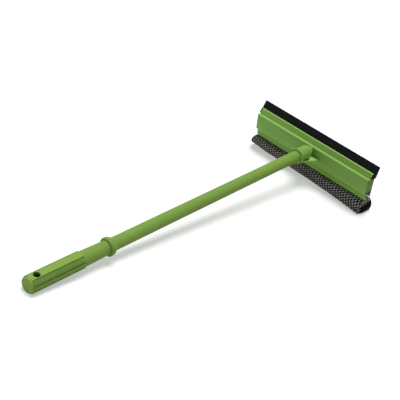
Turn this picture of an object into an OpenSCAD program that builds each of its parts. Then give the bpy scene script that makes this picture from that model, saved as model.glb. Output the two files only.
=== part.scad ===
// Windscreen squeegee: a moulded head with a rubber blade above and a netted sponge below,
// on a round plastic handle with a collar, a fluted grip and an end plug.
// It is drawn along its handle and then laid down on the sponge and the end of the grip.

/* [Head moulding] */
// Length of the head, side to side
head_len = 200; // [150:1:350]
// Depth of the head body, front face to back face
body_depth = 17.5; // [13:0.1:26]
// Lean of the front and back faces from the square
face_lean = 10.5; // [4:0.5:16]
// Height of the ledge above the handle's axis
ledge_up = 5.9; // [4:0.1:12]
// Drop of the front face below the handle's axis
face_down = 18.9; // [14:0.1:30]
// Depth of the ledge in front of the blade wall
ledge_depth = 4.6; // [3:0.1:7]
// Thickness of the moulded walls
wall = 1.9; // [1.2:0.1:2.6]
// Thickness of the ribs across the hollow back
rib = 1.8; // [1:0.1:3]
// Number of hollows in the back
hollow_count = 8; // [4:2:14]
// Rounding of the hollows' inner corners
hollow_round = 1.2; // [0.4:0.1:2.5]
// Rounding of the outer edges
edge_round = 0.8; // [0.3:0.1:1.2]
// Rounding of the edges of the lips and other thin walls
lip_round = 0.5; // [0.2:0.1:0.5]

/* [Blade seat] */
// Height of the wall in front of the blade
rim_rise = 7.9; // [6:0.1:10]
// Distance that it leans back over the blade's foot
rim_run = 4.8; // [3:0.1:5.5]
// Thickness of the wall in front of the blade
blade_wall = 1.6; // [1.1:0.1:2.2]
// Height of the lip behind the blade
back_lip_up = 4.5; // [2:0.1:5.5]
// Thickness of the lip behind the blade
back_lip = 1.4; // [1.1:0.1:2.2]

/* [Rubber blade] */
// Overhang of the blade past each end of the head
blade_over = 2.6; // [0:0.1:8]
// Height of the blade's tip above the rim
blade_show = 9.5; // [5:0.1:16]
// Lean of the blade's front face from the upright
blade_lean = 26; // [20:1:36]
// Thickness of the wiping edge
blade_tip = 0.8; // [0.4:0.1:2]
// Distance from the rim's edge to the blade's front face
rim_clear = 0.9; // [0.7:0.1:1.6]
// Height of the upright back of the blade above the back lip
heel_up = 4; // [2:0.1:6]
// Rounding of that upright back's upper end
heel_round = 2; // [0.5:0.1:4]
// Rounding of the wiping edge's two corners
tip_round = 0.2; // [0.1:0.05:0.2]
// Clearance of the blade's foot in its seat
blade_gap = 0.15; // [0.05:0.05:0.3]

/* [Sponge] */
// Depth of the slope from the front face in to the front lip
chamfer = 5.3; // [3:0.1:8]
// Height of the front lip
lip_down = 8.8; // [5:0.1:14]
// Lean of the front lip from the upright
lip_lean = 15; // [5:1:22]
// Distance of the back wall's end above the front lip's end
back_wall_short = 3.3; // [0:0.1:5]
// Thickness of the strip that holds the sponge in its channel
strip_t = 2.4; // [1.5:0.1:3.5]
// Distance that the sponge stands out in front of the front lip
sponge_front = 13.2; // [6:0.1:16]
// Height of the sponge's front face
sponge_tall = 21.4; // [16:0.1:32]
// Rake of the sponge's front face from the upright
sponge_rake = 13; // [0:1:20]
// Flat width of the sponge's underside
sponge_wide = 35; // [28:0.1:50]
// Height of the sponge's back face
sponge_back = 13.2; // [9:0.1:15]
// Rake of the sponge's back face from the upright
back_rake = 3; // [0:1:12]
// Radius of the sponge's upper front edge
top_front_round = 7; // [3:0.1:9]
// Radius of the sponge's lower front edge
low_front_round = 2.4; // [1:0.1:5]
// Radius of the sponge's back edges
back_round = 5.4; // [2:0.1:6]
// Thickness of the netting
net_t = 0.6; // [0.3:0.1:1]
// Height of the netting that is folded over each end of the sponge
net_fold = 10; // [5:0.1:16]
// Clearance of the strip and the sponge's neck in the channel
channel_gap = 0.2; // [0.1:0.05:0.4]

/* [Socket] */
// Reach of the socket's mouth in front of the head
socket_reach = 35; // [33:0.5:45]
// Radius of the socket's barrel
barrel_r = 9.5; // [9.1:0.1:10]
// Distance from the front face to the barrel's rounded end
barrel_gap = 7; // [4:0.1:8]
// Rounding of the barrel's end
barrel_round = 4; // [1:0.1:4]
// Radius of the neck behind the barrel
neck_r = 4.8; // [4:0.1:5]
// Widening of the neck where it meets the front face
neck_flare = 0.6; // [0.3:0.1:0.8]
// Radius of the ring at the socket's mouth
ring_r = 11.3; // [10.8:0.1:13]
// Width of the ring
ring_w = 2.8; // [1.8:0.1:5]
// Rounding of the ring's edges
ring_round = 0.8; // [0.3:0.1:0.8]
// Reach of the web under the barrel, to each side along the front face
gusset_out = 18.5; // [13:0.1:30]
// Half-width of the web at the ring
gusset_tip = 2.2; // [1:0.1:5]
// Thickness of the web
gusset_t = 2.2; // [1.5:0.1:4]
// Depth of the web's upper side below the handle's axis
gusset_down = 8.4; // [7:0.1:8.6]

/* [Shaft] */
// Length of the shaft from the socket's mouth to the collar's back face
shaft_len = 362; // [200:1:900]
// Radius of the shaft
shaft_r = 8.1; // [7.5:0.1:8.6]
// Radius of the shaft's hollow
shaft_bore_r = 5.7; // [4.5:0.1:6]
// Radius of the spigot at each end of the shaft
spigot_r = 6; // [5.8:0.05:6.2]
// Radius of the spigots' hollow
spigot_bore_r = 4.2; // [3:0.1:5]
// Length of each spigot
spigot_len = 20; // [10:0.5:21]
// Radial clearance of a spigot or plug in its bore
spigot_gap = 0.05; // [0.02:0.01:0.1]
// Space left past the spigot's end in the socket
bore_end = 1; // [0.5:0.1:2]
// Rounding of the ends of the spigots and the plug
spigot_round = 0.8; // [0.2:0.1:1.5]
// Rounding of the shaft's shoulder at the socket
shoulder_round = 1.4; // [0.5:0.1:1.4]
// Radius of the collar's crown
collar_r = 11.6; // [11:0.1:14]
// Length of the collar with its flare
collar_len = 10.5; // [9:0.1:16]
// Length of the collar's crown
collar_crest = 5; // [4.6:0.1:5.6]
// Rounding of the collar's crown
bead_r = 2.1; // [1:0.1:2.1]
// Rounding of the hollow where the collar's flare meets the shaft
flare_r = 6; // [1:0.5:7]

/* [Grip] */
// Length of the plain tapered part of the grip
taper_len = 36.5; // [20:0.5:80]
// Radius of the grip at the collar
grip_start_r = 8.7; // [8.2:0.1:9]
// Radius of the grip where the plain part ends
grip_mid_r = 9.5; // [9.2:0.1:9.8]
// Length of the fluted part of the grip
fluted_len = 72.5; // [50:0.5:140]
// Radius of the fluted part
grip_r = 10.5; // [10.1:0.05:11.5]
// Height of the flat top and bottom above the handle's axis
flat_up = 9.3; // [9:0.1:10]
// Length of the step up to the fluted part
step_len = 1.6; // [0.8:0.1:4]
// Rounding of the edges turned on the grip
grip_round = 0.6; // [0.2:0.1:0.8]
// Number of flutes on each side
flute_count = 4; // [2:1:4]
// Radius of the flutes' round cut
flute_r = 1.9; // [1:0.1:2.2]
// Depth of the flutes
flute_deep = 1.05; // [0.5:0.05:1.2]
// Angle between neighbouring flutes
flute_angle = 36; // [28:1:37]
// Plain length past each end of the flutes
flute_margin = 2.4; // [2.2:0.1:10]
// Radius of the hang hole
hang_r = 4.15; // [2:0.05:5]
// Distance of the hang hole's middle from the end of the fluted part
hang_in = 9.8; // [9.8:0.1:25]

/* [End plug] */
// Length of the plug that shows
plug_len = 2.4; // [2.2:0.1:6]
// Radius of the plug's head
plug_r = 9.5; // [9:0.1:9.6]
// Rounding of the plug's outer edge
plug_round = 1.4; // [0.5:0.1:1.7]
// Rounding of the edge where the plug meets the grip
plug_seam = 0.3; // [0.1:0.1:0.4]
// Depth of the plug inside the grip
plug_in = 4.9; // [3:0.1:4.9]

/* [Hidden] */

green = "#6fae3f";
black = "#17191b";
net_grey = "#6d6f73";

// Facets of the round solids, and steps in a rounded corner of an outline
$fn = 96;
corner_steps = 6;
// Small reach past a face, so that cuts go through it
over = 1;

// Head section, in lengths along the handle and upwards: the handle's axis meets the front face at 0, 0
function front_at(up) = -up * tan(face_lean);
function back_at(up) = body_depth - up * tan(face_lean);
blade_wall_at = front_at(ledge_up) + ledge_depth;
rim = [blade_wall_at, ledge_up] + [rim_run, rim_rise];
rim_lean = atan2(rim_rise, rim_run);
rim_in = rim + blade_wall * [sin(rim_lean), -cos(rim_lean)];
function wall_in_at(up, gap) =
    [rim_in.x - (rim_in.y - up) / tan(rim_lean) + gap / sin(rim_lean), up];
lip_outer = back_at(ledge_up);
lip_inner = lip_outer - back_lip;

// Front lip and back wall round the sponge's channel
chamfer_top = [front_at(-face_down), -face_down];
chamfer_low = chamfer_top + [chamfer, -chamfer];
lip_low = chamfer_low + [lip_down * tan(lip_lean), -lip_down];
back_low = [back_at(lip_low.y + back_wall_short), lip_low.y + back_wall_short];
channel_roof = -face_down;

// Blade section: a foot as wide as the seat, held under the leaning wall, and the tapered blade above it
foot_back = lip_inner - blade_gap;
foot_rim = rim_in + blade_gap * [sin(rim_lean), -cos(rim_lean)];
root = [rim_in.x + rim_clear, foot_rim.y];
tip_up = rim.y + blade_show;
tip_front = root.x + (tip_up - root.y) * tan(blade_lean);
heel_low = [lip_inner + back_lip / 2, ledge_up + back_lip_up + blade_gap];

// Ground contact of the end plug and of the netting, which sets how far the handle tips
handle_end = -(socket_reach + shaft_len + taper_len + fluted_len + plug_len);
net_top_front = lip_low - [sponge_front, channel_gap];
net_low_front = net_top_front + sponge_tall * [tan(sponge_rake), -1];
plug_edge = [handle_end + plug_round, -(plug_r - plug_round)];
ground_run = plug_edge - net_low_front;
tip_angle = atan2(ground_run.x, ground_run.y) + acos(plug_round / norm(ground_run));
ground_dir = [cos(tip_angle), -sin(tip_angle)];
ground_up = [sin(tip_angle), cos(tip_angle)];

// Sponge outline outside the netting: its underside lies along the ground, and its top slopes from
// the end of the back wall to the back face
net_low_back = net_low_front + sponge_wide * ground_dir;
net_top_back = net_low_back + sponge_back * [-tan(back_rake), 1];
slope_top = back_low - [0, channel_gap];
slope = net_top_back - slope_top;
slope_angle = atan2(-slope.y, slope.x);
function slope_at(up, inward) =
    slope_top.x + (slope_top.y - up) / tan(slope_angle) - inward / sin(slope_angle);
net_outline = [net_top_front, net_low_front, net_low_back, net_top_back,
               [slope_at(net_top_front.y, 0), net_top_front.y]];
net_radii = [top_front_round, low_front_round, back_round, back_round, 0];

// Origin: on the ground, halfway along the tool
plug_reach = (plug_edge - [0, 2 * plug_edge.y]) * ground_dir - plug_round;
back_corner = inset(net_outline, back_round)[2];
top_corner = inset(net_outline, back_round)[3];
net_reach = max(back_corner * ground_dir, top_corner * ground_dir) + back_round;
blade_reach = [tip_front + blade_tip, tip_up] * ground_dir;
middle = (plug_reach + max(net_reach, blade_reach)) / 2;
ground = net_low_front * ground_up;

// Outline with the corners of a list of points rounded, one radius to a corner
function unit(v) = v / norm(v);
function turn(a) = a > 180 ? a - 360 : a < -180 ? a + 360 : a;
function bend(a, p, b) = acos(unit(a - p) * unit(b - p)) / 2;
function arc_middle(a, p, b, r) = p + unit(unit(a - p) + unit(b - p)) * r / sin(bend(a, p, b));
function bearing(v) = atan2(v.y, v.x);
function corner(a, p, b, r) =
    let (middle = arc_middle(a, p, b, r),
         reach = r / tan(bend(a, p, b)),
         from = bearing(p + unit(a - p) * reach - middle),
         sweep = turn(bearing(p + unit(b - p) * reach - middle) - from))
    [for (i = [0:corner_steps]) middle + r * [cos(from + sweep * i / corner_steps),
                                              sin(from + sweep * i / corner_steps)]];
function rounded(points, radii) =
    let (count = len(points))
    [for (i = [0:count - 1])
        each radii[i] > 0
            ? corner(points[(i + count - 1) % count], points[i], points[(i + 1) % count], radii[i])
            : [points[i]]];

// A convex outline drawn in by a distance on all sides
function inset(points, distance) =
    let (count = len(points))
    [for (i = [0:count - 1])
        arc_middle(points[(i + count - 1) % count], points[i], points[(i + 1) % count], distance)];

// Tips the tool from its handle's axis down to the ground
module lie_down() {
    translate([0, -middle, -ground])
        rotate([tip_angle, 0, 0])
            children();
}

// Section drawn across the head, carried along its length
module along_head(length) {
    rotate([90, 0, 90])
        linear_extrude(length, center = true)
            children();
}

// Profile of radius and place along the handle, turned round the handle's axis
module round_handle() {
    rotate([-90, 0, 0])
        rotate_extrude()
            children();
}

module head_section() {
    difference() {
        union() {
            polygon(rounded([[front_at(ledge_up), ledge_up], chamfer_top, chamfer_low, lip_low,
                             lip_low + [wall, 0], back_low - [wall, 0], back_low,
                             [lip_outer, ledge_up]],
                            [edge_round, edge_round, edge_round, lip_round, 0, 0, lip_round, 0]));
            polygon(rounded([rim - (rim_rise + over) * [1 / tan(rim_lean), 1], rim, rim_in,
                             wall_in_at(ledge_up - over, 0)],
                            [0, lip_round, lip_round, 0]));
            polygon(rounded([[lip_inner, ledge_up - over], [lip_inner, ledge_up + back_lip_up],
                             [lip_outer, ledge_up + back_lip_up], [lip_outer, ledge_up - over]],
                            [0, lip_round, lip_round, 0]));
        }
        channel_section(0);
    }
}

// Hollow of the sponge's channel, or what fills it with a gap all round
module channel_section(gap) {
    low = lip_low.y - over;
    front_wall = wall / cos(lip_lean) + gap;
    polygon([[chamfer_top.x + sqrt(2) * wall + gap, channel_roof],
             [back_at(channel_roof) - wall - gap, channel_roof],
             [back_at(low) - wall - gap, low],
             [lip_low.x + over * tan(lip_lean) + front_wall, low],
             [chamfer_low.x + front_wall, chamfer_low.y]]);
}

// Hollows that lighten the back of the head between its ribs
module back_hollows() {
    pitch = (head_len - 2 * wall + rib) / hollow_count;
    low = channel_roof + wall;
    high = ledge_up - wall;
    for (i = [0:hollow_count - 1])
        translate([(i - (hollow_count - 1) / 2) * pitch, 0, 0])
            along_head(pitch - rib)
                polygon(rounded([[front_at(high) + wall, high], [front_at(low) + wall, low],
                                 [back_at(low) + over, low], [back_at(high) + over, high]],
                                [hollow_round, hollow_round, 0, 0]));
}

// Ring, barrel and neck of the socket; the neck widens where it goes into the head
module socket_outside() {
    mouth = -socket_reach;
    round_handle()
        polygon(rounded([[0, mouth], [ring_r, mouth], [ring_r, mouth + ring_w],
                         [barrel_r, mouth + ring_w], [barrel_r, -barrel_gap], [neck_r, -barrel_gap],
                         [neck_r, -wall], [neck_r + neck_flare, wall],
                         [neck_r + neck_flare, 2 * wall], [0, 2 * wall]],
                        [0, ring_round, ring_round, 0, barrel_round, 0, 0, 0, 0, 0]));
}

// Web under the barrel: a triangle from the ring out to both sides of the front face
module gussets() {
    foot = front_at(-gusset_down) + wall / 2;
    edge = foot - 2 * wall / 3;
    tip = -socket_reach + ring_w / 2;
    translate([0, 0, -gusset_down - gusset_t])
        linear_extrude(gusset_t)
            polygon([[-gusset_out, foot], [gusset_out, foot], [gusset_out, edge],
                     [gusset_tip, tip], [-gusset_tip, tip], [-gusset_out, edge]]);
}

module head_moulding() {
    color(green)
        lie_down()
            difference() {
                union() {
                    along_head(head_len)
                        head_section();
                    socket_outside();
                    gussets();
                }
                back_hollows();
                round_handle()
                    translate([0, -socket_reach - over])
                        square([spigot_r + spigot_gap, spigot_len + bore_end + over]);
            }
}

module rubber_blade() {
    color(black)
        lie_down()
            along_head(head_len + 2 * blade_over)
                polygon(rounded([wall_in_at(ledge_up, blade_gap), foot_rim, root,
                                 [tip_front, tip_up], [tip_front + blade_tip, tip_up],
                                 heel_low + [0, heel_up], heel_low, [foot_back, heel_low.y],
                                 [foot_back, ledge_up]],
                                [edge_round, lip_round, lip_round, tip_round, tip_round,
                                 heel_round, lip_round / 2, 0, edge_round]));
}

// Black strip that slides in along the channel and holds the netting's tucked edges
module sponge_strip() {
    color(black)
        lie_down()
            along_head(head_len)
                intersection() {
                    channel_section(channel_gap);
                    translate([0, channel_roof - strip_t])
                        square([2 * body_depth, strip_t]);
                }
}

// Sponge's neck: the channel below the strip, and the shoulder under the back wall's end
module neck_section(inward) {
    low = net_top_front.y - over;
    high = slope_top.y - inward;
    middle = slope_top.x - 2 * wall;
    intersection() {
        channel_section(channel_gap + inward);
        translate([0, low])
            square([2 * body_depth, channel_roof - strip_t - low]);
    }
    polygon([[middle, low], [middle, high], [slope_at(high, inward), high],
             [slope_at(low, inward), low]]);
}

module net_section() {
    polygon(rounded(net_outline, net_radii));
}

module foam_section() {
    polygon(rounded(inset(net_outline, net_t), [for (r = net_radii) max(r - net_t, 0)]));
}

module sponge_core() {
    color(black)
        lie_down() {
            along_head(head_len)
                foam_section();
            along_head(head_len)
                neck_section(net_t);
        }
}

// Netting round the sponge and up its neck, with a fold over each end
module netting_sleeve() {
    color(net_grey)
        lie_down() {
            along_head(head_len)
                difference() {
                    union() {
                        net_section();
                        neck_section(0);
                    }
                    foam_section();
                    neck_section(net_t);
                }
            for (side = [-1, 1])
                translate([side * (head_len + net_t) / 2, 0, 0])
                    along_head(net_t)
                        intersection() {
                            net_section();
                            translate([net_top_front.x - over, net_top_front.y - net_fold])
                                square([2 * sponge_wide, net_fold + over]);
                        }
        }
}

// Tube with a spigot at each end, and the collar that stops the grip
module shaft() {
    start = -socket_reach;
    stop = start - shaft_len;
    color(green)
        lie_down()
            difference() {
                round_handle()
                    polygon(rounded([[0, start + spigot_len], [spigot_r, start + spigot_len],
                                     [spigot_r, start], [shaft_r, start],
                                     [shaft_r, stop + collar_len], [collar_r, stop + collar_crest],
                                     [collar_r, stop], [spigot_r, stop],
                                     [spigot_r, stop - spigot_len], [0, stop - spigot_len]],
                                    [0, spigot_round, 0, shoulder_round, flare_r, bead_r, bead_r, 0,
                                     spigot_round, 0]));
                round_handle()
                    translate([0, stop - spigot_len - over])
                        square([spigot_bore_r, shaft_len + 2 * spigot_len + 2 * over]);
                round_handle()
                    translate([0, stop + spigot_len])
                        square([shaft_bore_r, shaft_len - 2 * spigot_len]);
            }
}

// Round-bottomed flute with round ends, cut at one angle round the grip
module flute(angle, start, stop) {
    rotate([0, angle, 0])
        translate([grip_r - flute_deep + flute_r, 0, 0]) {
            translate([0, stop, 0])
                rotate([-90, 0, 0])
                    cylinder(start - stop, flute_r, flute_r);
            for (place = [start, stop])
                translate([0, place, 0])
                    sphere(flute_r);
        }
}

module grip() {
    start = -(socket_reach + shaft_len);
    step = start - taper_len;
    stop = step - fluted_len;
    color(green)
        lie_down()
            difference() {
                intersection() {
                    round_handle()
                        polygon(rounded([[0, start], [grip_start_r, start], [grip_mid_r, step],
                                         [grip_r, step - step_len], [grip_r, stop], [0, stop]],
                                        [0, grip_round, grip_round, grip_round, grip_round, 0]));
                    translate([-2 * grip_r, stop, -flat_up])
                        cube([4 * grip_r, start - stop, 2 * flat_up]);
                }
                for (side = [0, 180], i = [0:flute_count - 1])
                    flute(side + (i - (flute_count - 1) / 2) * flute_angle,
                          step - step_len - flute_margin, stop + flute_margin);
                round_handle()
                    translate([0, stop - over])
                        square([spigot_r + spigot_gap, start - stop + 2 * over]);
                translate([0, stop + hang_in, -grip_r - over])
                    cylinder(2 * grip_r + 2 * over, hang_r, hang_r);
            }
}

module end_plug() {
    start = handle_end + plug_len;
    color(green)
        lie_down()
            round_handle() {
                polygon(rounded([[0, handle_end], [plug_r, handle_end], [plug_r, start], [0, start]],
                                [0, plug_round, plug_seam, 0]));
                polygon(rounded([[0, start - over], [spigot_r, start - over],
                                 [spigot_r, start + plug_in], [0, start + plug_in]],
                                [0, 0, spigot_round, 0]));
            }
}

head_moulding();
rubber_blade();
sponge_strip();
sponge_core();
netting_sleeve();
shaft();
grip();
end_plug();
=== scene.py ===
"""Looks for the windscreen squeegee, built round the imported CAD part."""

import math
from itertools import groupby

import bpy
from mathutils import Matrix, Vector, noise


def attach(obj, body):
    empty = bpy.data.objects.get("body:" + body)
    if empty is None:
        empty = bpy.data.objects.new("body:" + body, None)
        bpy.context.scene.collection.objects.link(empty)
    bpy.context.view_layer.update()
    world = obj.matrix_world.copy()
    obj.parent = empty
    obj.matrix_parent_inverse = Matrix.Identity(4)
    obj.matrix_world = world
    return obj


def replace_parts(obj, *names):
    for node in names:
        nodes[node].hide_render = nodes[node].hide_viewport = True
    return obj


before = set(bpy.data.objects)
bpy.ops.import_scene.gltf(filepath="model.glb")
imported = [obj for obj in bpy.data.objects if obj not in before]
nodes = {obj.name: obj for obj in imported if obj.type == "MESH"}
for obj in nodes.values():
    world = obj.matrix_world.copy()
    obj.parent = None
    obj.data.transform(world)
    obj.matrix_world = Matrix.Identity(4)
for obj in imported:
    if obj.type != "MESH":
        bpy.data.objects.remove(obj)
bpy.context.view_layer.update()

# ---------------------------------------------------------------- place and sizes
# The tool is described along its handle, in millimetres: x along the head, y along the handle from the
# head's front face, z up. It is then tipped and set down on the ground, as the solids are.
TIP = math.radians(5.05396)
COS, SIN = math.cos(TIP), math.sin(TIP)
MIDDLE, GROUND = -232.63, -54.1321
MM = 0.001

HEAD_HALF = 100.0
# Where the grip's fluted part ends and begins along the handle
GRIP_END, GRIP_STEP = -506.0, -433.5
# The net's outer section, from its top front corner down and round, and the rounding of each corner
NET_CORNERS = ((-2.039, -33.2), (2.901, -54.6), (37.765, -57.683), (37.074, -44.483), (26.188, -33.2))
NET_ROUNDS = (7.0, 2.4, 5.4, 5.4, 0.0)
NET_THICK = 0.6
# The sleeve's section, from inside the channel at the front, round the foam, and into the channel again
SLEEVE = ((10.97, -24.2), (13.38, -33.2), *NET_CORNERS[:4], (23.005, -29.9), (20.94, -29.9), (19.885, -24.2))
SLEEVE_ROUNDS = (0.0, 0.0, *NET_ROUNDS[:4], 0.6, 0.0, 0.0)


def turned(v):
    """A direction, tipped with the tool."""
    x, y, z = v
    return Vector((x, y * COS - z * SIN, y * SIN + z * COS))


def lay(x, y, z):
    """A point along the handle, in mm, as it lies on the ground, in metres."""
    p = turned((x, y, z))
    return Vector((p.x, p.y - MIDDLE, p.z - GROUND)) * MM


def lift(p):
    """The reverse of lay: a point of the scene, in mm along the handle."""
    y, z = p[1] / MM + MIDDLE, p[2] / MM + GROUND
    return Vector((p[0] / MM, y * COS + z * SIN, -y * SIN + z * COS))


def mesh_piece(name, verts, faces, material):
    """A smooth mesh that rides on the part's only body."""
    mesh = bpy.data.meshes.new(name)
    mesh.from_pydata(verts, [], faces)
    mesh.update()
    mesh.polygons.foreach_set("use_smooth", [True] * len(mesh.polygons))
    obj = bpy.data.objects.new(name, mesh)
    bpy.context.scene.collection.objects.link(obj)
    obj.data.materials.append(material)
    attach(obj, "root")
    return obj


# ---------------------------------------------------------------- node trees
def srgb(code):
    """Linear colour of a hex code."""
    part = [int(code[i:i + 2], 16) / 255 for i in (1, 3, 5)]
    return tuple(c / 12.92 if c <= 0.04045 else ((c + 0.055) / 1.055) ** 2.4 for c in part) + (1.0,)


class Nodes:
    """The node tree of a material or a world, with short calls for what is used here."""

    def __init__(self, owner):
        owner.use_nodes = True
        self.tree = owner.node_tree

    def add(self, kind, **settings):
        node = self.tree.nodes.new(kind)
        for key, value in settings.items():
            setattr(node, key, value)
        return node

    def feed(self, value, into):
        """Give an input its value: another node's output, a colour's hex code or a plain value."""
        if hasattr(value, "is_linked"):
            self.tree.links.new(value, into)
        else:
            into.default_value = srgb(value) if isinstance(value, str) else value

    def maths(self, operation, a, b=0.0):
        node = self.add("ShaderNodeMath", operation=operation)
        self.feed(a, node.inputs[0])
        self.feed(b, node.inputs[1])
        return node.outputs[0]

    def product(self, first, *others):
        """Values multiplied together."""
        for other in others:
            first = self.maths("MULTIPLY", first, other)
        return first

    def level(self, value, low, high, to_low=0.0, to_high=1.0):
        """A value between two ends, scaled to two others and held there outside them."""
        node = self.add("ShaderNodeMapRange")
        for key, number in (("Value", value), ("From Min", low), ("From Max", high), ("To Min", to_low),
                            ("To Max", to_high)):
            self.feed(number, node.inputs[key])
        return node.outputs["Result"]

    def ramp(self, share, *stops):
        """Colours, as hex codes or linear values, by a share from 0 to 1."""
        node = self.add("ShaderNodeValToRGB")
        elements = node.color_ramp.elements
        while len(elements) < len(stops):
            elements.new(0.5)
        for element, (at, colour) in zip(elements, stops):
            element.position = at
            element.color = srgb(colour) if isinstance(colour, str) else colour
        self.feed(share, node.inputs["Fac"])
        return node.outputs["Color"]

    def curve(self, value, low, high, stops):
        """A share that goes straight from one (value, share) stop to the next, between two ends."""
        return self.ramp(self.level(value, low, high),
                         *(((at - low) / (high - low), (share, share, share, 1)) for at, share in stops))

    def mix(self, share, a, b):
        node = self.add("ShaderNodeMix", data_type="RGBA")
        for value, into in ((share, node.inputs[0]), (a, node.inputs[6]), (b, node.inputs[7])):
            self.feed(value, into)
        return node.outputs[2]


class Material(Nodes):
    """A new material: its textures lie in the scene's own metres."""

    def __init__(self, name):
        self.material = bpy.data.materials.new(name)
        super().__init__(self.material)
        self.place = self.add("ShaderNodeTexCoord").outputs["Object"]

    def reach(self, axis):
        """How far a point lies along one axis of the handle's frame, in mm."""
        node = self.add("ShaderNodeVectorMath", operation="DOT_PRODUCT")
        self.feed(self.place, node.inputs[0])
        self.feed(turned([unit / MM for unit in axis]), node.inputs[1])
        return self.maths("ADD", node.outputs["Value"], lift((0, 0, 0)).dot(Vector(axis)))

    def noise(self, scale, detail=3.0, rough=0.5, stretch=None):
        """Cloud noise, with scale in clouds per metre, times a factor for each axis if they are given."""
        where = self.place
        if stretch:
            mapping = self.add("ShaderNodeMapping")
            self.feed(self.place, mapping.inputs["Vector"])
            self.feed(stretch, mapping.inputs["Scale"])
            where = mapping.outputs["Vector"]
        node = self.add("ShaderNodeTexNoise")
        for key, value in (("Vector", where), ("Scale", scale), ("Detail", detail), ("Roughness", rough)):
            self.feed(value, node.inputs[key])
        return node.outputs["Fac"]

    def bump(self, height, distance, strength, normal=None):
        """The normal over a height, with distance in metres, on top of another normal if there is one."""
        node = self.add("ShaderNodeBump")
        for key, value in (("Height", height), ("Distance", distance), ("Strength", strength)):
            self.feed(value, node.inputs[key])
        if normal is not None:
            self.feed(normal, node.inputs["Normal"])
        return node.outputs["Normal"]

    def set(self, **inputs):
        """Give the shader's inputs their values, and return the material."""
        shader = self.tree.nodes["Principled BSDF"]
        for key, value in inputs.items():
            self.feed(value, shader.inputs[key.replace("_", " ")])
        return self.material


# ---------------------------------------------------------------- materials
ALONG_HEAD, ALONG_HANDLE, UPWARDS = (1, 0, 0), (0, 1, 0), (0, 0, 1)
# Painted shade: the dark green mixed into the head's groove and crease and into the grip's flutes and lower
# side
SHADE_GREEN = "#20330F"
# How much the head's green is painted paler (painted light) or darker (painted shade), by height over the
# handle's axis
TONE_LOW, TONE_HIGH = -34.0, 14.0
PALER = ((-33.2, 1.0), (-31.6, 0.8), (-30.0, 0.5), (-28.4, 0.0), (12.5, 0.0), (12.9, 0.4), (13.3, 1.0))
DARKER = ((-28.4, 0.0), (-27.4, 0.22), (-25.8, 0.22), (-24.2, 0.0), (4.9, 0.0), (5.5, 0.18), (6.2, 0.22),
          (6.7, 0.4), (12.5, 0.38), (12.9, 0.0))
# The painted light and shade start and stop over short stretches: the ones by height behind the face, so that
#  they miss the socket, the web's at both its ends and at its top, and the end faces' painted shade along the
#  head
TONES_START = (1.0, 2.5)
WEB_START, WEB_STOP, WEB_TOP = (-31.6, -31.2), (0.3, 0.8), (-8.2, -7.8)
END_START = (HEAD_HALF - 0.25, HEAD_HALF - 0.1)
# How strongly the web's top is painted paler, as painted light
WEB_PALER = 0.32
# Painted light: the green is paler at the left, less and less up to this place along the head
LEFT_LIGHT, LEFT_LIGHT_END = 0.12, 40.0
# Painted shade on the fluted grip by the angle up from its side, in degrees, and how softly it starts and
# stops
GRIP_SHADE = ((-60, 0.5), (-28, 0.22), (-12, 0.0), (2, 0.0), (9, 0.3), (27, 0.24), (40, 0.22), (46, 0.42),
         (60, 0.42), (64, 0.0))
GRIP_SHADE_START, GRIP_SHADE_STOP = 1.5, 6.0
# The net's strands are painted paler over the upper height, as painted light against the lip's shade, and
# plain under the lower one
NET_PLAIN_BELOW, NET_LIT_ABOVE = -37.5, -32.0


def head_tones(m, colour):
    """The head's tones, all painted light and shade. The rim, the lip's lower edge and the web's top are
    painted paler as highlights, the groove over the ledge and the crease over the lip get painted shade, the
    left gets a little painted light, and the end faces get painted shade."""
    across, along, up = (m.reach(axis) for axis in (ALONG_HEAD, ALONG_HANDLE, UPWARDS))
    paler, darker = (m.curve(up, TONE_LOW, TONE_HIGH, stops) for stops in (PALER, DARKER))
    # Painted light on the rim and the lip's lower edge, painted shade in the groove over the ledge and the
    # crease over the lip
    lit_and_shaded = m.mix(darker, m.mix(paler, colour, "#A6DA62"), SHADE_GREEN)
    colour = m.mix(m.level(along, *TONES_START), colour, lit_and_shaded)
    # Painted light on the web's top face
    web = m.product(m.level(along, *WEB_START), m.level(up, *WEB_TOP, WEB_PALER, 0.0),
                    m.level(along, *WEB_STOP, 1.0, 0.0))
    colour = m.mix(web, colour, "#CFFF86")
    # Painted light at the left end, less and less towards the middle
    colour = m.mix(m.level(across, -HEAD_HALF, LEFT_LIGHT_END, LEFT_LIGHT, 0.0), colour, "#98E480")
    # Painted shade on the end faces
    return m.mix(m.level(m.maths("ABSOLUTE", across), *END_START), colour, "#5A8029")


def grip_tones(m, colour):
    """The grip's tones round its axis: painted shade in and between the flutes and on its lower side, a
    little patchy.
    """
    across, along, up = (m.reach(axis) for axis in (ALONG_HEAD, ALONG_HANDLE, UPWARDS))
    angle = m.maths("ARCTAN2", up, m.maths("ABSOLUTE", across))
    # Painted shade by the angle round the grip, over its fluted part only
    grip_shade = m.curve(angle, -math.pi / 2, math.pi / 2, [(math.radians(turn), share) for turn, share in GRIP_SHADE])
    fluted = m.product(m.level(along, GRIP_END, GRIP_END + GRIP_SHADE_START),
                       m.level(along, GRIP_STEP - GRIP_SHADE_STOP, GRIP_STEP, 1.0, 0.0))
    patchy = m.level(m.noise(scale=120.0), 0.3, 0.7, 0.85, 1.0)
    return m.mix(m.product(grip_shade, fluted, patchy), colour, SHADE_GREEN)


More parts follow.
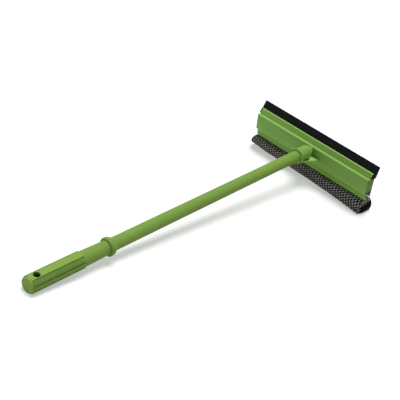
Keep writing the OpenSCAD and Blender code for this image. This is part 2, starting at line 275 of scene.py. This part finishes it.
def green_plastic(name, base, dark, edge_highlight, grain=1.0, tones=None):
    """Moulded polypropylene: an even green with faint flow marks, fine orange peel and a painted highlight on
    its edges.
    """
    m = Material(name)
    flow = m.noise(scale=26.0, detail=4.0, rough=0.55, stretch=(0.35, 1.0, 1.0))
    colour = m.ramp(flow, (0.30, dark), (0.72, base))
    # Painted highlight: convex edges, found by the mesh's pointiness, are mixed towards a paler green
    edge = m.level(m.add("ShaderNodeNewGeometry").outputs["Pointiness"], 0.52, 0.60, 0.0, 0.55)
    colour = m.mix(edge, colour, edge_highlight)
    if tones:
        colour = tones(m, colour)
    peel = m.noise(scale=900.0, detail=2.0)
    scuff = m.noise(scale=70.0, detail=5.0, rough=0.6, stretch=(1.0, 0.25, 1.0))
    normal = m.bump(peel, distance=0.00006 * grain, strength=0.35)
    normal = m.bump(scuff, distance=0.0003 * grain, strength=0.10, normal=normal)
    return m.set(Base_Color=colour, Roughness=m.level(scuff, 0.3, 0.7, 0.46, 0.56), Normal=normal,
                 Specular_IOR_Level=0.12)


def black_rubber(name):
    """Moulded rubber: near black with a faint bloom and fine lines along the blade."""
    m = Material(name)
    bloom = m.noise(scale=60.0, detail=4.0, rough=0.6)
    colour = m.ramp(bloom, (0.35, "#08090B"), (0.75, "#0E1013"))
    lines = m.noise(scale=1.0, detail=2.0, stretch=(12.0, 900.0, 900.0))
    pits = m.noise(scale=1300.0, detail=2.0)
    normal = m.bump(lines, distance=0.00012, strength=0.5)
    normal = m.bump(pits, distance=0.00004, strength=0.5, normal=normal)
    return m.set(Base_Color=colour, Roughness=m.level(bloom, 0.3, 0.7, 0.55, 0.68), Normal=normal,
                 Specular_IOR_Level=0.12)


def black_plastic(name):
    """The dull black strip in the channel."""
    m = Material(name)
    colour = m.ramp(m.noise(scale=80.0), (0.35, "#060607"), (0.75, "#0C0C0E"))
    normal = m.bump(m.noise(scale=1100.0, detail=2.0), distance=0.00005, strength=0.4)
    return m.set(Base_Color=colour, Roughness=0.6, Normal=normal, Specular_IOR_Level=0.05)


def open_foam(name):
    """Black open-cell foam: dark pores between dull ribs."""
    m = Material(name)
    cells = m.add("ShaderNodeTexVoronoi", feature="F1")
    m.feed(m.place, cells.inputs["Vector"])
    m.feed(1500.0, cells.inputs["Scale"])
    far = cells.outputs["Distance"]
    colour = m.ramp(far, (0.05, "#030303"), (0.45, "#0C0C0D"), (0.9, "#1B1B1D"))
    normal = m.bump(far, distance=0.0005, strength=0.9)
    return m.set(Base_Color=colour, Roughness=0.95, Normal=normal, Specular_IOR_Level=0.06)


def net_strand(name):
    """Extruded plastic strands: milky grey, slightly shiny, uneven along their length, and painted paler
    high up, as painted light against the shade under the lip."""
    m = Material(name)
    cloud = m.noise(scale=240.0, rough=0.6)
    plain = m.ramp(cloud, (0.30, "#B5B1AC"), (0.70, "#D7D4D0"))
    lit = m.ramp(cloud, (0.30, "#E4DFE1"), (0.70, "#FCF8FA"))
    # Painted light: the strands are paler high up, under the lip
    colour = m.mix(m.level(m.reach(UPWARDS), NET_PLAIN_BELOW, NET_LIT_ABOVE), plain, lit)
    normal = m.bump(m.noise(scale=1500.0), distance=0.00004, strength=0.5)
    return m.set(Base_Color=colour, Roughness=0.38, Normal=normal, Specular_IOR_Level=0.5)


# Each green: its base, its darker flow marks and the paler green of its painted edge highlight
TUBE_GREENS = {"base": "#7D9F48", "dark": "#769842", "edge_highlight": "#8CAF50", "grain": 0.7}
for node, material in (
        ("head_moulding", green_plastic("green_moulding", "#7DA550", "#779F4A", "#97C15C", tones=head_tones)),
        ("rubber_blade", black_rubber("blade_rubber")),
        ("sponge_strip", black_plastic("black_strip")),
        ("shaft", green_plastic("green_tube", **TUBE_GREENS)),
        ("grip", green_plastic("green_grip", **TUBE_GREENS, tones=grip_tones)),
        ("end_plug", green_plastic("green_plug", "#8AA84D", "#83A248", "#9CBC58"))):
    slots = nodes[node].data.materials
    slots.clear()
    slots.append(material)


# ---------------------------------------------------------------- outlines
CORNER_STEPS = 7


def outline(corners, rounds):
    """A closed outline with rounded corners."""
    points = []
    count = len(corners)
    for i, (corner, r) in enumerate(zip(corners, rounds)):
        p, a, b = Vector(corner), Vector(corners[i - 1]), Vector(corners[(i + 1) % count])
        if r <= 0:
            points.append(p)
            continue
        to_a, to_b = (a - p).normalized(), (b - p).normalized()
        half = to_a.angle(to_b) / 2
        middle = p + (to_a + to_b).normalized() * (r / math.sin(half))
        start, end = (p + way * (r / math.tan(half)) - middle for way in (to_a, to_b))
        sweep = start.angle_signed(end)
        base = math.atan2(start.y, start.x)
        for k in range(CORNER_STEPS + 1):
            angle = base - sweep * k / CORNER_STEPS
            points.append(middle + r * Vector((math.cos(angle), math.sin(angle))))
    return points


def drawn_in(points, distance):
    """A closed outline, anticlockwise, moved inwards along its own normals."""
    moved = []
    count = len(points)
    for i, p in enumerate(points):
        before, after = (p - points[i - 1]).normalized(), (points[(i + 1) % count] - p).normalized()
        n1, n2 = Vector((-before.y, before.x)), Vector((-after.y, after.x))
        moved.append(p + (n1 + n2) * distance / (1 + n1.dot(n2)))
    return moved


def resampled(points, step):
    """Points along a closed outline, about a step apart."""
    loop = points + [points[0]]
    lengths = [(b - a).length for a, b in zip(loop, loop[1:])]
    total = sum(lengths)
    count = round(total / step)
    out, i, gone = [], 0, 0.0
    for k in range(count):
        want = total * k / count
        while gone + lengths[i] < want:
            gone += lengths[i]
            i += 1
        out.append(loop[i].lerp(loop[i + 1], (want - gone) / lengths[i]))
    return out


def inside(point, loop):
    """Whether a point lies in a closed outline."""
    hit = False
    for a, b in zip(loop, loop[1:] + loop[:1]):
        if (a.y > point.y) != (b.y > point.y):
            if point.x < a.x + (point.y - a.y) / (b.y - a.y) * (b.x - a.x):
                hit = not hit
    return hit


def clamped(share):
    """A share held between 0 and 1."""
    return min(1.0, max(0.0, share))


NET_OUTLINE = outline(NET_CORNERS, NET_ROUNDS)
FOAM_TOP, FOAM_DEPTH = -33.2, 21.4
# How far the foam's front edge is squeezed up at the left, and where this ends towards the back
SQUEEZE, SQUEEZE_BACK = 8.2, 33.0
# The left end curls up and out a little more, over this reach
END_CURL, END_PUFF, CURL_REACH = 2.5, 2.4, 30.0


def slumped(x, y, z):
    """A point of the scrubber as it lies: its lower front edge is squeezed up, the more the further left,
    and its left end curls up and out."""
    along = 1 - ((HEAD_HALF + min(x, HEAD_HALF)) / (2 * HEAD_HALF)) ** 3
    deep = clamped((FOAM_TOP - z) / FOAM_DEPTH)
    front = clamped((SQUEEZE_BACK - y) / SQUEEZE_BACK)
    left = max(0.0, (-x - HEAD_HALF + CURL_REACH) / CURL_REACH)
    return lay(x - END_PUFF * left ** 4 * deep, y, z + (SQUEEZE * along + END_CURL * left) * deep * front)


# ---------------------------------------------------------------- foam
# Points round the foam and rows of them along it, which end a little inside the head's ends
FOAM_STEP, FOAM_ROWS, FOAM_INSET = 1.6, 126, 0.2
PORE_DEPTH, FINE_PORES, COARSE_PORES = 0.35, 0.9, 0.23
# Rings that close each end, each smaller than the last by this share, and their deeper pores
END_RINGS, END_RING_STEP, END_PORES = 11, 0.085, 1.2
# How far the bare foam swells out of the net's folded ends, and how steeply
SWELL, SWELL_RISE = 3.6, 3.4
# The foam is bare under this height and behind this depth, over these short stretches
BARE_TOP, BARE_TOP_BLEND = -42.5, 5
BARE_FRONT, BARE_FRONT_BLEND = 6, 4


def pore(x, q):
    """How deep the foam is pressed in at a point, in mm."""
    p = Vector((x, q.x, q.y))
    return max(0.0, noise.noise(p * FINE_PORES) * PORE_DEPTH + noise.noise(p * COARSE_PORES) * PORE_DEPTH)


def foam_block():
    """The foam inside the netting: rows of points round it, with pores pressed in, and swollen ends."""
    ring = resampled(drawn_in(NET_OUTLINE, NET_THICK), FOAM_STEP)
    middle = sum(ring, Vector((0, 0))) / len(ring)
    n = len(ring)
    verts, faces = [], []
    for i in range(FOAM_ROWS + 1):
        x = -HEAD_HALF + FOAM_INSET + 2 * (HEAD_HALF - FOAM_INSET) * i / FOAM_ROWS
        for q in ring:
            q = q + (middle - q).normalized() * pore(x, q)
            verts.append(slumped(x, q.x, q.y))
    for i in range(FOAM_ROWS):
        for k in range(n):
            a, b = i * n + k, i * n + (k + 1) % n
            faces.append((a, a + n, b + n, b))
    for side, first in ((-1, 0), (1, FOAM_ROWS * n)):
        last = [first + k for k in range(n)]
        for number in range(1, END_RINGS + 1):
            shrunk = END_RING_STEP * number
            row = [len(verts) + k for k in range(n)]
            for q in ring:
                s = middle + (q - middle) * (1 - shrunk)
                low_down, well_back = (BARE_TOP - s.y) / BARE_TOP_BLEND, (s.x - BARE_FRONT) / BARE_FRONT_BLEND
                bare = clamped(low_down) * clamped(well_back)
                bulge = SWELL * bare * min(1.0, shrunk * SWELL_RISE) ** 0.5
                out = HEAD_HALF - FOAM_INSET + bulge - pore(side * HEAD_HALF, s) * END_PORES
                verts.append(slumped(side * out, s.x, s.y))
            for k in range(n):
                j = (k + 1) % n
                faces.append((last[k], last[j], row[j], row[k])[::side])
            last = row
        faces.append(tuple(last)[::side])
    obj = mesh_piece("sponge_foam", verts, faces, open_foam("black_foam"))
    return obj


foam = foam_block()
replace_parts(foam, "sponge_core")

# ---------------------------------------------------------------- netting
# Strands cross in two families, given by their wave vectors in turns per mm along the head and round it
FAMILIES = ((0.210, -0.057), (0.157, 0.178))
# The strands' radius and sides, how flat and how uneven they are, and how far the families lie apart
STRAND_R, STRAND_SIDES = 0.25, 5
STRAND_WIDE, STRAND_HIGH, STRAND_UNEVEN, UNEVEN_WAVES = 1.15, 0.85, 0.22, 0.7
LIFT, SUNK = 0.09, 0.1
KNOT_R, KNOT_SIDES, KNOT_HIGH, KNOT_MARGIN = 0.32, 6, 0.8, 0.3
# Points along a strand lie this far apart, round the foam and in a fold. One round the foam is left out under
# this length, and one in a fold with fewer points than this.
ROUND_STEP, FOLD_STEP = 0.85, 0.8
SHORTEST, FEWEST = 0.5, 3
# How far a strand hangs slack and sways, in mm, and how fast this changes along the head and round it
SLACK, SLACK_WAVES = 0.35, (0.06, 0.09)
SWAY, SWAY_WAVES = 0.22, (0.11, 0.13)
# The meshes are pulled wider where the net is folded over an end, and lie this far out, with a little bow
FOLD_STRETCH, FOLD_OUT, FOLD_LIFT = 1.35, 0.22, 0.8
FOLD_BOW, BOW_WAVES = 0.25, 0.2
FOLD_TURNS, FOLD_STEPS, FOLD_SHIFT = 30, 90, 0.37
# The fold's section: the net's own, drawn in, and the neck that goes up into the channel
FOLD_INSET = 0.45
NECK_TOP = -27.2
NECK = ((11.3, NECK_TOP), (13.6, -33.6), (24.5, -33.6), (21.6, -30.2), (20.6, -30.2), (19.4, NECK_TOP))
# It covers the foam down to a slanting edge, and a strip along the front, both frayed
FOLD_EDGE, FOLD_SLANT, EDGE_FRAY, EDGE_WAVES = -43.6, 0.12, 0.8, 0.15
FOLD_STRIP, STRIP_FRAY, STRIP_WAVES = 5.0, 0.9, 0.16


def drift(size, *where):
    """A smooth irregularity of up to about this size, by a place in noise. The odd numbers in such places
    and in seeds only keep one strand or end from repeating another."""
    return size * noise.noise(Vector(where))


class Path:
    """The sleeve's section as a line with lengths along it, and its outward normals."""

    def __init__(self, points):
        self.points = points
        self.at = [0.0]
        for a, b in zip(points, points[1:]):
            self.at.append(self.at[-1] + (b - a).length)
        self.length = self.at[-1]
        sides = [Vector((b.y - a.y, a.x - b.x)).normalized() for a, b in zip(points, points[1:])]
        between = [(m + n).normalized() for m, n in zip(sides, sides[1:])]
        self.normals = [sides[0], *between, sides[-1]]

    def find(self, s):
        """The point and the outward direction at a length along the line."""
        low, high = 0, len(self.at) - 1
        while high - low > 1:
            mid = (low + high) // 2
            low, high = (mid, high) if self.at[mid] <= s else (low, mid)
        t = clamped((s - self.at[low]) / (self.at[high] - self.at[low]))
        outward = self.normals[low].lerp(self.normals[high], t).normalized()
        return self.points[low].lerp(self.points[high], t), outward

    def turns(self, fx, fs):
        """The numbers of the strands of one family that cross the sleeve."""
        ends = [fx * x + fs * s for x in (-HEAD_HALF, HEAD_HALF) for s in (0, self.length)]
        return range(math.ceil(min(ends)), math.floor(max(ends)) + 1)

    def place(self, x, s, out):
        """A point of the net and its outward direction, in mm along the handle."""
        q, n = self.find(s)
        slack = drift(SLACK, x * SLACK_WAVES[0], s * SLACK_WAVES[1], 3.1)
        q = q + n * (out - SUNK + min(0.0, slack))
        return Vector((x, q.x, q.y)), Vector((0, n.x, n.y))


class Strands:
    """Round strands and knots gathered into one mesh."""

    def __init__(self):
        self.verts, self.faces = [], []

    def tube(self, points, normals, seed):
        """A strand through points, with its outward direction at each."""
        rings = []
        for i, (p, n) in enumerate(zip(points, normals)):
            along = (points[min(i + 1, len(points) - 1)] - points[max(i - 1, 0)]).normalized()
            across = along.cross(n).normalized()
            out = across.cross(along)
            where = p * UNEVEN_WAVES + Vector((seed, 0, 0))
            r = STRAND_R * (1 + drift(STRAND_UNEVEN, *where))
            rings.append([len(self.verts) + k for k in range(STRAND_SIDES)])
            for k in range(STRAND_SIDES):
                a = 2 * math.pi * k / STRAND_SIDES
                q = p + (across * math.cos(a) * STRAND_WIDE + out * math.sin(a) * STRAND_HIGH) * r
                self.verts.append(slumped(*q))
        for a, b in zip(rings, rings[1:]):
            for k in range(STRAND_SIDES):
                j = (k + 1) % STRAND_SIDES
                self.faces.append((a[k], b[k], b[j], a[j]))
        self.faces.append(tuple(rings[0]))
        self.faces.append(tuple(reversed(rings[-1])))

    def knot(self, p, n):
        """A flattened bead where two strands are fused."""
        along = Vector(ALONG_HEAD)
        across = along.cross(n).normalized()
        first = len(self.verts)
        for k in range(KNOT_SIDES):
            a = 2 * math.pi * k / KNOT_SIDES
            self.verts.append(slumped(*(p + (along * math.cos(a) + across * math.sin(a)) * KNOT_R)))
        for side in (1, -1):
            self.verts.append(slumped(*(p + n * side * KNOT_R * KNOT_HIGH)))
        for k in range(KNOT_SIDES):
            j = first + (k + 1) % KNOT_SIDES
            self.faces.append((first + k, j, first + KNOT_SIDES))
            self.faces.append((j, first + k, first + KNOT_SIDES + 1))


def net_round(strands, path):
    """The part of the net that goes round the foam."""
    for index, (fx, fs) in enumerate(FAMILIES):
        out = LIFT if index else -LIFT
        for turn in path.turns(fx, fs):
            limits = sorted((turn - fx * x) / fs for x in (-HEAD_HALF, HEAD_HALF))
            low, high = max(0.0, limits[0]), min(path.length, limits[1])
            if high - low < SHORTEST:
                continue
            count = max(FEWEST - 1, math.ceil((high - low) / ROUND_STEP))
            points, normals = [], []
            for i in range(count + 1):
                s = low + (high - low) * i / count
                x = (turn - fs * s) / fx
                sway = drift(SWAY, x * SWAY_WAVES[0], s * SWAY_WAVES[1], turn * 1.7 + 40 * index)
                p, n = path.place(max(-HEAD_HALF, min(HEAD_HALF, x + sway)), s, out)
                points.append(p)
                normals.append(n)
            strands.tube(points, normals, seed=turn * 3.7)
    (ax, as_), (bx, bs) = FAMILIES
    det = ax * bs - as_ * bx
    for i in path.turns(ax, as_):
        for j in path.turns(bx, bs):
            x, s = (i * bs - j * as_) / det, (j * ax - i * bx) / det
            if abs(x) < HEAD_HALF - KNOT_MARGIN and KNOT_MARGIN < s < path.length - KNOT_MARGIN:
                strands.knot(*path.place(x, s, 0.0))


def net_fold(strands, side):
    """The net's end, folded over the foam: deep at the top, narrow down the front edge."""
    section = drawn_in(NET_OUTLINE, FOLD_INSET)
    neck = [Vector(c) for c in NECK]
    corner = Vector(NET_CORNERS[0])
    down = (Vector(NET_CORNERS[1]) - corner).normalized()
    inward = Vector((-down.y, down.x))

    def covered(q):
        """Whether the folded net lies over this point of the end."""
        if inside(q, neck):
            return True
        if not inside(q, section):
            return False
        edge = FOLD_EDGE + FOLD_SLANT * q.x + drift(EDGE_FRAY, q.x * EDGE_WAVES, 7.7 * side, 0)
        strip = FOLD_STRIP + drift(STRIP_FRAY, q.y * STRIP_WAVES, 2.2 * side, 0)
        return q.y > edge or (q - corner).dot(inward) < strip

    def strand(run, out, seed):
        """One strand of the fold through a run of points."""
        points = []
        for q in run:
            bow = drift(FOLD_BOW, q.x * BOW_WAVES, q.y * BOW_WAVES, side * 4.0)
            points.append(Vector((side * (HEAD_HALF + FOLD_OUT + out * FOLD_LIFT + bow), q.x, q.y)))
        strands.tube(points, [Vector((side, 0, 0))] * len(points), seed)

    for index, (fx, fs) in enumerate(FAMILIES):
        along, across = Vector((fs, -fx)).normalized(), Vector((fx, fs)).normalized()
        pitch = FOLD_STRETCH / math.hypot(fx, fs)
        for turn in range(-FOLD_TURNS, FOLD_TURNS + 1):
            line = []
            for i in range(-FOLD_STEPS, FOLD_STEPS + 1):
                t, s = across * (turn + FOLD_SHIFT * side) * pitch + along * i * FOLD_STEP
                line.append(corner + inward * t + down * s)
            for on_foam, run in groupby(line, covered):
                run = list(run)
                if on_foam and len(run) >= FEWEST:
                    strand(run, LIFT if index else -LIFT, seed=turn * 2.9)


def netting():
    """The whole net as one piece."""
    path = Path(drawn_in(outline(SLEEVE, SLEEVE_ROUNDS), NET_THICK / 2))
    strands = Strands()
    net_round(strands, path)
    for side in (-1, 1):
        net_fold(strands, side)
    obj = mesh_piece("sleeve_strands", strands.verts, strands.faces, net_strand("net_strands"))
    return obj


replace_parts(netting(), "netting_sleeve")

# ---------------------------------------------------------------- camera
# The view is given by its angles round the handle's frame, its place, and its focal length in pixels of a
# picture this wide, fitted to the straight edges of the photographed tool.
CAM_AZIMUTH, CAM_ELEVATION, CAM_ROLL = math.radians(34.844), math.radians(34.314), math.radians(13.445)
CAM_PLACE = (513.82, -977.16, 618.04)
CAM_FOCAL, PICTURE_WIDTH = 877.666, 400
SENSOR_WIDTH = 36

back = Vector((math.sin(CAM_AZIMUTH) * math.cos(CAM_ELEVATION),
               -math.cos(CAM_AZIMUTH) * math.cos(CAM_ELEVATION), math.sin(CAM_ELEVATION)))
aside = Vector((math.cos(CAM_AZIMUTH), math.sin(CAM_AZIMUTH), 0))
upright = back.cross(aside)
right = aside * math.cos(CAM_ROLL) + upright * math.sin(CAM_ROLL)
up = upright * math.cos(CAM_ROLL) - aside * math.sin(CAM_ROLL)
axes = [turned(v) for v in (right, up, back)]

camera = bpy.data.objects.new("camera", bpy.data.cameras.new("camera"))
bpy.context.scene.collection.objects.link(camera)
camera.matrix_world = Matrix.Translation(lay(*CAM_PLACE)) @ Matrix(axes).transposed().to_4x4()
camera.data.lens = CAM_FOCAL / PICTURE_WIDTH * SENSOR_WIDTH
camera.data.sensor_width = SENSOR_WIDTH
camera.data.clip_start, camera.data.clip_end = 0.05, 20
bpy.context.scene.camera = camera


# ---------------------------------------------------------------- light
def lamp(name, place, size, power):
    """A round lamp that shines on the middle of the floor."""
    data = bpy.data.lights.new(name, "AREA")
    data.shape = "DISK"
    data.size = size
    data.energy = power
    obj = bpy.data.objects.new(name, data)
    bpy.context.scene.collection.objects.link(obj)
    obj.location = place
    obj.rotation_mode = "QUATERNION"
    obj.rotation_quaternion = (-Vector(place)).to_track_quat("-Z", "Y")


lamp("key", place=(-0.35, 0.35, 4.8), size=3.0, power=240)
lamp("fill", place=(-2.2, -3.2, 1.4), size=2.0, power=18)

WHITE = (1, 1, 1, 1)
# The white surroundings are dim as a light, brighter in reflections, and full white where they are seen
SKY_LIGHT, SKY_GLOSS = 0.12, 0.4
world = bpy.data.worlds.new("studio")
bpy.context.scene.world = world
sky = Nodes(world)
ray = sky.add("ShaderNodeLightPath").outputs
shown = sky.maths("MAXIMUM", ray["Is Camera Ray"], sky.maths("MULTIPLY", ray["Is Glossy Ray"], SKY_GLOSS))
background = sky.tree.nodes["Background"]
sky.feed(sky.level(shown, 0.0, 1.0, SKY_LIGHT, 1.0), background.inputs["Strength"])
sky.feed(WHITE, background.inputs["Color"])

# ---------------------------------------------------------------- floor
# The floor is white in the picture by a glow of its own, which only the camera sees. It grows from the tool
# outwards, to full white at the horizon, and is weak enough near the tool to leave its shadow. It is given by
# its strength at a near and a far distance from the middle, in metres.
FLOOR_HALF = 6
FLOOR_SHADE, FLOOR_SEEN = (0.82, 0.82, 0.82, 1), (0.7, 0.7, 0.7, 1)
NEAR, NEAR_GLOW, FAR, FAR_GLOW = 0.7, 0.44, 1.6, 1.0

corners = [(FLOOR_HALF * x, FLOOR_HALF * y, 0) for x, y in ((-1, -1), (1, -1), (1, 1), (-1, 1))]
floor_mesh = bpy.data.meshes.new("floor")
floor_mesh.from_pydata(corners, [], [(0, 1, 2, 3)])
floor = bpy.data.objects.new("floor", floor_mesh)
bpy.context.scene.collection.objects.link(floor)
white = Material("floor_white")
seen = white.add("ShaderNodeLightPath").outputs["Is Camera Ray"]
away = white.add("ShaderNodeVectorMath", operation="LENGTH")
white.feed(white.place, away.inputs[0])
glow = white.level(away.outputs["Value"], NEAR, FAR, NEAR_GLOW, FAR_GLOW)
floor.data.materials.append(white.set(
    Base_Color=white.mix(seen, FLOOR_SHADE, FLOOR_SEEN), Roughness=0.9, Specular_IOR_Level=0.0,
    Emission_Color=WHITE, Emission_Strength=white.product(seen, glow)))

bpy.context.scene.view_settings.view_transform = "Standard"
